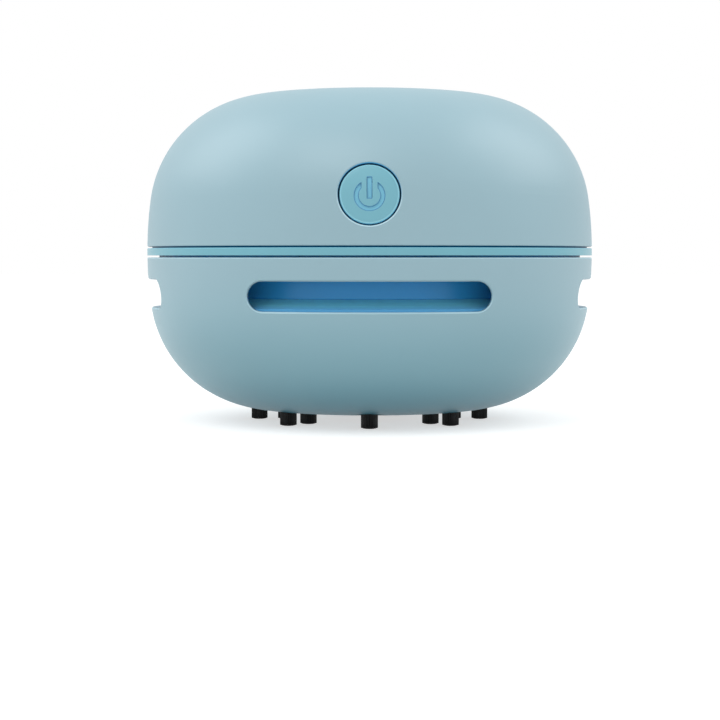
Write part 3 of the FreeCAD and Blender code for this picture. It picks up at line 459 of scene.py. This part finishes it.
def button_plastic(name, colour, roughness):
    """The button's plastic: painted shade in the sunk symbol and along its edges, a painted highlight on the
    cap's bevel, and a tint that the cap's side mirrors as painted shade in the gap round it.
    """
    finish = Finish(name)
    x, _, z = finish.axes()
    outwards, up = button_reach(x, z)
    inside = symbol_mask(x.size(), up)
    # painted shade along the edges of the sunk symbol
    edge = 4 * inside * (1 - inside)
    # painted highlight on the cap's rounded rim
    bevel = outwards.above(CAP_RADIUS - CAP_BEVEL, LIP_SOFTNESS)
    # painted shade: the cap's side mirrors its tint in the gap
    wall = outwards.above(CAP_RADIUS - WALL_SOFTNESS, WALL_SOFTNESS)
    base = finish.layered(colour, (inside, SYMBOL_SHADE), (edge, SYMBOL_EDGE_SHADE),
                          (bevel, CAP_BEVEL_HIGHLIGHT), (wall, CAP_WALL_SHADE))
    return finish.surface(**{"Base Color": base, "Metallic": WALL_MIRROR * wall},
                          **grained(finish, roughness))


def polished_band(name, colour):
    """The bright band: smoother plastic with a slight waviness along its run."""
    finish = Finish(name)
    wave = finish.noise(scale=120.0, detail=1.0)
    fine = finish.noise(scale=2600.0, detail=2.0)
    base = finish.tinted(wave, shade(colour, 1 - MOTTLE), shade(colour, 1 + MOTTLE))
    # painted highlight on the band's broken top edge
    base = finish.layered(base, (finish.height().above(BAND_EDGE, LIP_SOFTNESS), BAND_EDGE_HIGHLIGHT))
    return finish.surface(**{"Base Color": base, "Roughness": 0.26 + 0.06 * fine,
                             "Normal": finish.bump(wave, 0.01 * MM)})


def nylon_bristle(name):
    """Black nylon: glossy, streaked along each filament and duller at the cut tips."""
    finish = Finish(name)
    streak = finish.noise(scale=1.0, detail=2.0, where=finish.stretched(5200.0, 5200.0, 240.0))
    tip = 1 - finish.height().above(TIP_HEIGHT, TIP_RUN)
    base = finish.tinted(streak, paint(5, 5, 6), paint(15, 16, 18))
    rough = 0.34 + 0.12 * streak + 0.2 * tip
    return finish.surface(**{"Base Color": base, "Specular IOR Level": 0.25, "Roughness": rough,
                             "Normal": finish.bump(streak, 0.01 * MM)})


def soft_rubber(name):
    """Moulded rubber: dull, with an even, slightly deeper grain."""
    finish = Finish(name)
    fine = finish.noise(scale=1900.0, detail=3.0)
    base = finish.tinted(fine, paint(24, 25, 27), paint(36, 37, 40))
    return finish.surface(**{"Base Color": base, "Roughness": 0.78 + 0.1 * fine,
                             "Normal": finish.bump(fine, 0.012 * MM)})


def tarnished(finish, colour):
    """A metal's colour under a faint cloud of tarnish, and the cloud."""
    cloud = finish.noise(scale=420.0, detail=2.0)
    return finish.tinted(cloud, shade(colour, 0.9), shade(colour, 1.05)), cloud


def plated_metal(name, colour, roughness):
    """Drawn or turned metal with fine lines round the vertical axis."""
    finish = Finish(name)
    lines = finish.noise(scale=1.0, detail=3.0, where=finish.stretched(500.0, 500.0, 9000.0))
    base, _ = tarnished(finish, colour)
    return finish.surface(**{"Base Color": base, "Metallic": 1.0, "Roughness": roughness + 0.12 * lines,
                             "Normal": finish.bump(lines, 0.003 * MM)})


def charging_socket(name, colour):
    """Plated shell round a black tongue that carries a row of gilt contacts on its underside."""
    finish = Finish(name)
    low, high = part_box("usb_socket")
    middle = (low[2] + high[2]) / 2
    x, _, z = finish.axes()
    tongue = z.between(middle - TONGUE_MARGIN, middle + TONGUE_HEIGHT + TONGUE_MARGIN, TONGUE_MARGIN)
    tongue = tongue * (1 - x.size().above(TONGUE_WIDTH / 2 + TONGUE_MARGIN, TONGUE_MARGIN))
    contact = 1 - (x * (1 / CONTACT_PITCH)).from_nearest_whole().above(CONTACT_REACH, CONTACT_SOFTNESS)
    contact = tongue * contact * (1 - z.above(middle + CONTACT_TOP, TONGUE_MARGIN))
    base, cloud = tarnished(finish, colour)
    base = finish.layered(base, (tongue, TONGUE_TINT), (contact, CONTACT_TINT))
    metal = 1 - tongue + contact
    return finish.surface(**{"Base Color": base, "Metallic": metal, "Roughness": 0.42 - 0.14 * metal,
                             "Normal": finish.bump(cloud, 0.003 * MM)})


def solder_mask(name):
    """Circuit board: green lacquer over copper tracks that show as a faint relief."""
    finish = Finish(name)
    tracks = finish.node("ShaderNodeTexBrick", {"offset": 0.35, "squash": 1.0},
                         Vector=finish.place, Scale=420.0, **{"Mortar Size": 0.09, "Mortar Smooth": 0.3})
    line = tracks.value("Fac")
    base = finish.tinted(line, paint(22, 84, 56), paint(44, 118, 78))
    return finish.surface(**{"Base Color": base, "Roughness": 0.3 + 0.1 * line,
                             "Normal": finish.bump(line, 0.02 * MM)})


def pleated_cloth(name):
    """Non-woven filter cloth: matted fibres with a soft nap."""
    finish = Finish(name)
    fibres = finish.noise(scale=1.0, detail=6.0, where=finish.stretched(2600.0, 2600.0, 700.0))
    base = finish.tinted(fibres, paint(214, 214, 206), paint(246, 246, 240))
    return finish.surface(**{"Base Color": base, "Roughness": 0.92, "Sheen Weight": 0.2,
                             "Normal": finish.bump(fibres, 0.05 * MM)})


def shrink_sleeve(name):
    """The cell's sleeve: glossy film, shrunk on with a slight waviness."""
    finish = Finish(name)
    wave = finish.noise(scale=420.0, detail=2.0)
    base = finish.tinted(wave, paint(62, 84, 132), paint(74, 98, 148))
    return finish.surface(**{"Base Color": base, "Roughness": 0.22 + 0.1 * wave,
                             "Normal": finish.bump(wave, 0.03 * MM)})


def desk_white():
    """A white floor that keeps a faint shadow: part of what is seen of it is its own glow."""
    finish = Finish("desk_white")
    rays = finish.node("ShaderNodeLightPath")
    seen = rays.value("Is Camera Ray") + rays.value("Is Glossy Ray") + rays.value("Is Transmission Ray")
    glow = finish.tinted(seen, (0, 0, 0, 1), (FLOOR_GLOW, FLOOR_GLOW, FLOOR_GLOW, 1))
    return finish.surface(**{"Base Color": FLOOR_TINT, "Roughness": 0.9, "Specular IOR Level": 0.0,
                             "Emission Color": glow, "Emission Strength": 1.0})


finishes = {
    "shell_blue": moulded_plastic("shell_blue", paint(150, 186, 198), 0.42, specular=1.0,
                                  detail=shell_tints),
    "band_blue": polished_band("band_blue", paint(120, 186, 202)),
    "button_blue": button_plastic("button_blue", paint(122, 186, 202), 0.36),
    "cup_blue": moulded_plastic("cup_blue", paint(54, 172, 236), 0.38, detail=cup_tints),
    "chassis_grey": moulded_plastic("chassis_grey", paint(92, 104, 112), 0.5),
    "bristle_black": nylon_bristle("bristle_black"),
    "seal_black": soft_rubber("seal_black"),
    "screw_steel": plated_metal("screw_steel", paint(196, 198, 200), 0.28),
    "motor_steel": plated_metal("motor_steel", paint(188, 190, 194), 0.24),
    "bush_bronze": plated_metal("bush_bronze", paint(190, 150, 92), 0.4),
    "bell_black": moulded_plastic("bell_black", paint(34, 35, 38), 0.5),
    "terminal_copper": plated_metal("terminal_copper", paint(200, 150, 92), 0.3),
    "cell_wrap": shrink_sleeve("cell_wrap"),
    "board_green": solder_mask("board_green"),
    "socket_steel": charging_socket("socket_steel", paint(205, 207, 210)),
    "switch_black": moulded_plastic("switch_black", paint(30, 31, 34), 0.48),
    "filter_frame_white": moulded_plastic("filter_frame_white", paint(226, 229, 231), 0.45),
    "filter_cloth": pleated_cloth("filter_cloth"),
}


def coat(piece, slot):
    """Give a piece or a CAD node the finish of its slot."""
    piece.data.materials.clear()
    piece.data.materials.append(finishes[slot])


def finished(piece, slot, body, *nodes):
    """Give a new piece its finish and body, and let it stand for CAD nodes."""
    coat(piece, slot)
    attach(piece, body)
    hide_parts(*nodes)


# ==== modelling helpers ===========================================================================
def deselect():
    bpy.ops.object.select_all(action="DESELECT")


def pick(piece):
    """Make one object the only selected and active one."""
    deselect()
    piece.select_set(True)
    bpy.context.view_layer.objects.active = piece


def named(name):
    """Name the object that was just added, and return it."""
    piece = bpy.context.active_object
    piece.name = name
    piece.data.name = name
    return piece


def settle(piece):
    """Move a piece's place into its mesh."""
    pick(piece)
    bpy.ops.object.transform_apply(location=True, rotation=True, scale=True)
    return piece


def twin(piece):
    """A copy of a piece with a mesh of its own."""
    copy = piece.copy()
    copy.data = piece.data.copy()
    bpy.context.scene.collection.objects.link(copy)
    return copy


def carve(piece, tool):
    """Cut a tool object out of a piece, and delete the tool."""
    pick(piece)
    modifier = piece.modifiers.new("carve", "BOOLEAN")
    modifier.operation = "DIFFERENCE"
    modifier.solver = "EXACT"
    modifier.object = tool
    bpy.ops.object.modifier_apply(modifier="carve")
    bpy.data.objects.remove(tool)


def drum(name, radius, low, high, sides=ROUND_SIDES):
    """An upright cylinder on the vertical axis, to be shaped further."""
    deselect()
    bpy.ops.mesh.primitive_cylinder_add(radius=radius, depth=high - low, vertices=sides,
                                        location=(0, 0, (low + high) / 2))
    return settle(named(name))


def brick(name, low, high):
    """A block between two corners, used to cut."""
    low, high = Vector(low), Vector(high)
    deselect()
    bpy.ops.mesh.primitive_cube_add(size=1, location=(low + high) / 2, scale=high - low)
    return settle(named(name))


def looks_up(face):
    return face.normal.z > UPRIGHT


def looks_down(face):
    return face.normal.z < -UPRIGHT


def select_faces(piece, chosen):
    """Select the faces that a test chooses, and go into edit mode."""
    pick(piece)
    bpy.ops.object.mode_set(mode="EDIT")
    bpy.ops.mesh.select_mode(type="FACE")
    bpy.ops.mesh.select_all(action="DESELECT")
    bpy.ops.object.mode_set(mode="OBJECT")
    for face in piece.data.polygons:
        face.select = chosen(face)
    bpy.ops.object.mode_set(mode="EDIT")


def round_rim(piece, chosen, radius, steps=ROUND_STEPS):
    """Round the edges of the faces that a test chooses."""
    select_faces(piece, chosen)
    bpy.ops.mesh.bevel(offset=radius, segments=steps, affect="EDGES")
    bpy.ops.object.mode_set(mode="OBJECT")


def welded_copy(node, name):
    """A separate copy of a CAD node's solid with its loose triangles joined."""
    pick(frame["nodes"][node])
    bpy.ops.object.duplicate()
    piece = named(name)
    piece.parent = None
    for key in list(piece.keys()):
        del piece[key]
    bpy.ops.object.mode_set(mode="EDIT")
    bpy.ops.mesh.select_all(action="SELECT")
    bpy.ops.mesh.remove_doubles(threshold=WELD)
    bpy.ops.object.mode_set(mode="OBJECT")
    return piece


def smooth(piece, degrees):
    """Shade a piece smoothly, but for edges that turn by more than this."""
    pick(piece)
    bpy.ops.object.shade_smooth_by_angle(angle=math.radians(degrees))


def even_normals(piece):
    """Let the large faces set the shading, so that slivers beside a cut don't show."""
    pick(piece)
    modifier = piece.modifiers.new("even", "WEIGHTED_NORMAL")
    modifier.keep_sharp = True
    bpy.ops.object.modifier_apply(modifier="even")


def joined(pieces, name):
    """Several pieces as one, without merging their corners."""
    deselect()
    for piece in pieces:
        piece.select_set(True)
    bpy.context.view_layer.objects.active = pieces[0]
    bpy.ops.object.join()
    return named(name)


def islands(node):
    """Lowest and highest corner of each separate solid in a CAD node."""
    welded_copy(node, "islands")
    bpy.ops.object.mode_set(mode="EDIT")
    bpy.ops.mesh.select_all(action="SELECT")
    bpy.ops.mesh.separate(type="LOOSE")
    bpy.ops.object.mode_set(mode="OBJECT")
    boxes = []
    for part in list(bpy.context.selected_objects):
        corners = [vertex.co for vertex in part.data.vertices]
        low = Vector([min(corner[axis] for corner in corners) for axis in range(3)])
        high = Vector([max(corner[axis] for corner in corners) for axis in range(3)])
        boxes.append((low, high))
        bpy.data.objects.remove(part)
    return sorted(boxes, key=lambda box: tuple(round(value, DECIMALS) for value in box[0]))


# ==== power button ================================================================================
def symbol_tool():
    """The power symbol as a solid that stands out of the face and reaches its depth into it."""
    low, high = -SYMBOL_DEPTH, SYMBOL_DEPTH * 4
    circle = drum("symbol", SYMBOL_OUTER, low, high)
    carve(circle, drum("inside", SYMBOL_INNER, low * 2, high * 2))
    carve(circle, brick("opening", (-SYMBOL_OPENING / 2, 0, low * 2),
                        (SYMBOL_OPENING / 2, SYMBOL_OUTER * 2, high * 2)))
    circle.location.y = -SYMBOL_DROP
    settle(circle)
    bar = brick("bar", (-SYMBOL_BAR_WIDTH / 2, SYMBOL_BAR_FOOT, low),
                (SYMBOL_BAR_WIDTH / 2, SYMBOL_BAR_TOP, high))
    return joined([circle, bar], "symbol")


def face_terms(x, y):
    """The terms of the face's curve at a point, in millimetres across and up from its middle."""
    return [x ** across * y ** up for across, up in FACE_POWERS]


def face_curve(place):
    """Height of the button's curved face at a point across and up from its middle, in its own frame."""
    inwards = place.inverted()
    corners = [inwards @ vertex.co for vertex in frame["nodes"]["power_button"].data.vertices]
    face = [corner / MM for corner in corners
            if corner.xy.length < CAP_RADIUS - CAP_BEVEL / 2 and corner.z > -CAP_DEPTH]
    terms = [face_terms(corner.x, corner.y) for corner in face]
    heights = [corner.z for corner in face]
    factors = numpy.linalg.lstsq(numpy.array(terms), numpy.array(heights), rcond=None)[0]

    def height(x, y):
        return MM * float(sum(factor * term for factor, term in zip(factors, face_terms(x / MM, y / MM))))

    return height


def button_cap(place):
    """The cap's visible end: a disc of small faces with a rounded rim, bent to the button's curve."""
    cap = drum("cap", CAP_RADIUS, -CAP_DEPTH, 0)
    round_rim(cap, looks_up, CAP_BEVEL)
    select_faces(cap, looks_up)
    for _ in range(CAP_RINGS):
        bpy.ops.mesh.inset(thickness=(CAP_RADIUS - CAP_BEVEL - CAP_GRID_RADIUS) / CAP_RINGS)
    bpy.ops.mesh.delete(type="ONLY_FACE")
    bpy.ops.mesh.select_mode(type="EDGE")
    bpy.ops.mesh.select_all(action="DESELECT")
    bpy.ops.mesh.select_non_manifold(extend=False)
    bpy.ops.mesh.fill_grid(span=ROUND_SIDES // 4)
    bpy.ops.object.mode_set(mode="OBJECT")
    height = face_curve(place)
    for vertex in cap.data.vertices:
        if vertex.co.z > -CAP_DEPTH / 2:
            vertex.co.z += height(vertex.co.x, vertex.co.y)
    carve(cap, symbol_tool())
    cap.matrix_world = place
    return settle(cap)


def power_button():
    """The cap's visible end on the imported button's flange and stem."""
    place = button_frame()
    rest = welded_copy("power_button", "rest")
    front = brick("front", (-2 * CAP_RADIUS, -2 * CAP_RADIUS, -CAP_DEPTH),
                  (2 * CAP_RADIUS, 2 * CAP_RADIUS, 2 * CAP_RADIUS))
    front.matrix_world = place
    carve(rest, settle(front))
    button = joined([button_cap(place), rest], "button_cap")
    smooth(button, degrees=25)
    even_normals(button)
    finished(button, "button_blue", "button", "power_button")


# ==== bristles ====================================================================================
def filament(height):
    """One bristle from the desk up: a thin rod with a rounded foot."""
    rod = drum("filament", FILAMENT_RADIUS, 0, height, FILAMENT_SIDES)
    round_rim(rod, looks_down, FILAMENT_RADIUS / 2, steps=2)
    smooth(rod, degrees=50)
    return rod


def filament_places(radius):
    """Close-packed rings of filament centres inside a tuft, each with its share of the tuft's radius."""
    reach = radius - FILAMENT_RADIUS
    places = [(Vector((0, 0, 0)), 0.0)]
    for ring in range(1, FILAMENT_RINGS + 1):
        share = ring / FILAMENT_RINGS
        count = 6 * ring
        for index in range(count):
            angle = 2 * math.pi * (index + (ring % 2) / 2) / count
            places.append((Vector((math.cos(angle), math.sin(angle), 0)) * reach * share, share))
    return places


def tuft(radius, height):
    """One bundle of filaments, longest in its middle, round its own vertical axis."""
    rod = filament(height)
    rods = []
    for place, share in filament_places(radius):
        shorter = TUFT_DOME * share ** 3
        copy = twin(rod)
        copy.location = place + Vector((0, 0, shorter))
        copy.scale.z = (height - shorter) / height
        rods.append(copy)
    bpy.data.objects.remove(rod)
    return settle(joined(rods, "bundle"))


def bristle_ring(node, name):
    """A ring of tufts: one bundle, copied to the place of each of the node's solids."""
    boxes = islands(node)
    low, high = boxes[0]
    bundle = tuft((high.x - low.x) / 2, high.z)
    bundles = []
    for low, high in boxes:
        middle = (low + high) / 2
        copy = twin(bundle)
        copy.location = (middle.x, middle.y, 0)
        copy.rotation_euler.z = math.atan2(middle.y, middle.x)
        bundles.append(settle(copy))
    bpy.data.objects.remove(bundle)
    finished(joined(bundles, name), "bristle_black", "lower", node)


# ==== screws ======================================================================================
def pan_screw(head_radius, head_height, shank_radius, shank_length):
    """A screw that points down, its head on z = 0.

    Every edge of the head is bevelled. The bevel overlaps itself, which turns the head inside out, so
    carving leaves the cross standing on the head and not sunk in it.
    """
    head = drum("sample", head_radius, 0, head_height, HEAD_SIDES)
    bpy.ops.object.mode_set(mode="EDIT")
    bpy.ops.mesh.select_all(action="SELECT")
    bpy.ops.mesh.bevel(offset=head_height / 2, segments=ROUND_STEPS, affect="EDGES")
    bpy.ops.object.mode_set(mode="OBJECT")
    for turn in (0, math.pi / 2):
        slot = brick("slot", (-RECESS_LENGTH / 2, -RECESS_WIDTH / 2, head_height - RECESS_DEPTH),
                     (RECESS_LENGTH / 2, RECESS_WIDTH / 2, head_height * 2))
        slot.rotation_euler.z = turn
        carve(head, settle(slot))
    shank = drum("shank", shank_radius, -shank_length, 0, SHANK_SIDES)
    screw = joined([head, shank], "sample")
    smooth(screw, degrees=35)
    return screw


def screw_sizes(node, low, high, upwards):
    """Head radius, head height, shank radius and shank length of the plain screw between two corners."""
    corners = [vertex.co for vertex in frame["nodes"][node].data.vertices]
    levels = sorted({round(corner.z, DECIMALS) for corner in corners})
    head_radius = (high.x - low.x) / 2
    head_height = levels[1] - levels[0] if upwards else levels[-1] - levels[-2]
    middle = (low + high) / 2
    shank_end = high.z if upwards else low.z
    reaches = [(corner - middle).xy.length for corner in corners if abs(corner.z - shank_end) < TOUCH]
    shank_radius = max(reach for reach in reaches if reach < head_radius)
    return head_radius, head_height, shank_radius, high.z - low.z - head_height


def screws(node, name, body, upwards):
    """Detailed screws in place of a node's plain ones. upwards is true where the shank points up."""
    boxes = islands(node)
    sizes = screw_sizes(node, *boxes[0], upwards)
    head_height = sizes[1]
    sample = pan_screw(*sizes)
    copies = []
    for low, high in boxes:
        middle = (low + high) / 2
        seat = low.z + head_height if upwards else high.z - head_height
        copy = twin(sample)
        copy.location = (middle.x, middle.y, seat)
        copy.rotation_euler = (math.pi if upwards else 0, 0, FIRST_TURN + NEXT_TURN * len(copies))
        copies.append(settle(copy))
    bpy.data.objects.remove(sample)
    finished(joined(copies, name), "screw_steel", body, node)


# ==== stage =======================================================================================
def floor():
    deselect()
    bpy.ops.mesh.primitive_plane_add(size=FLOOR_SIZE, location=(0, 0, frame_low.z))
    ground = settle(named("desk_top"))
    ground.data.materials.append(desk_white())


def white_background(tree, strength):
    node = tree.nodes.new("ShaderNodeBackground")
    node.inputs["Color"].default_value = (1, 1, 1, 1)
    node.inputs["Strength"].default_value = strength
    return node.outputs["Background"]


def sky():
    """Even surroundings that the lens sees as plain white."""
    world = bpy.data.worlds.new("studio")
    bpy.context.scene.world = world
    world.use_nodes = True
    tree = world.node_tree
    tree.nodes.clear()
    rays = tree.nodes.new("ShaderNodeLightPath")
    mix = tree.nodes.new("ShaderNodeMixShader")
    output = tree.nodes.new("ShaderNodeOutputWorld")
    tree.links.new(rays.outputs["Is Camera Ray"], mix.inputs["Fac"])
    tree.links.new(white_background(tree, SKY_STRENGTH), mix.inputs[1])
    tree.links.new(white_background(tree, SEEN_STRENGTH), mix.inputs[2])
    tree.links.new(mix.outputs["Shader"], output.inputs["Surface"])


def softbox(name, place, power):
    """A square lamp that looks at the body's middle."""
    deselect()
    bpy.ops.object.light_add(type="AREA", location=place)
    lamp = bpy.context.active_object
    lamp.name = name
    lamp.data.shape = "SQUARE"
    lamp.data.size = LAMP_SIZE
    lamp.data.energy = power
    aim = Vector((0, 0, frame_high.z / 2)) - Vector(place)
    lamp.rotation_euler = aim.to_track_quat("-Z", "Y").to_euler()


def camera():
    deselect()
    bpy.ops.object.camera_add(location=(0, -EYE_DISTANCE, EYE_HEIGHT),
                              rotation=(math.radians(90 - EYE_PITCH), 0, math.radians(EYE_YAW)))
    eye = bpy.context.active_object
    eye.data.sensor_width = SENSOR
    eye.data.lens = LENS
    eye.data.clip_start = NEAREST
    eye.data.clip_end = FURTHEST
    bpy.context.scene.camera = eye


def dress_cad_nodes():
    """Every CAD node takes the finish of its slot."""
    for part in frame["record"]["subparts"]:
        coat(frame["nodes"][part["node"]], part["material_slot"])


camera()
sky()
floor()
for lamp_name, lamp_place, lamp_power in LAMPS:
    softbox(lamp_name, lamp_place, lamp_power)
bpy.context.scene.view_settings.view_transform = "Standard"

dress_cad_nodes()
power_button()
bristle_ring("outer_bristle_tufts", "outer_bristles")
bristle_ring("inner_bristle_tufts", "inner_bristles")
screws("cup_screws", "cup_fixings", "lower", upwards=False)
screws("chassis_screws", "chassis_fixings", "upper_unit", upwards=True)
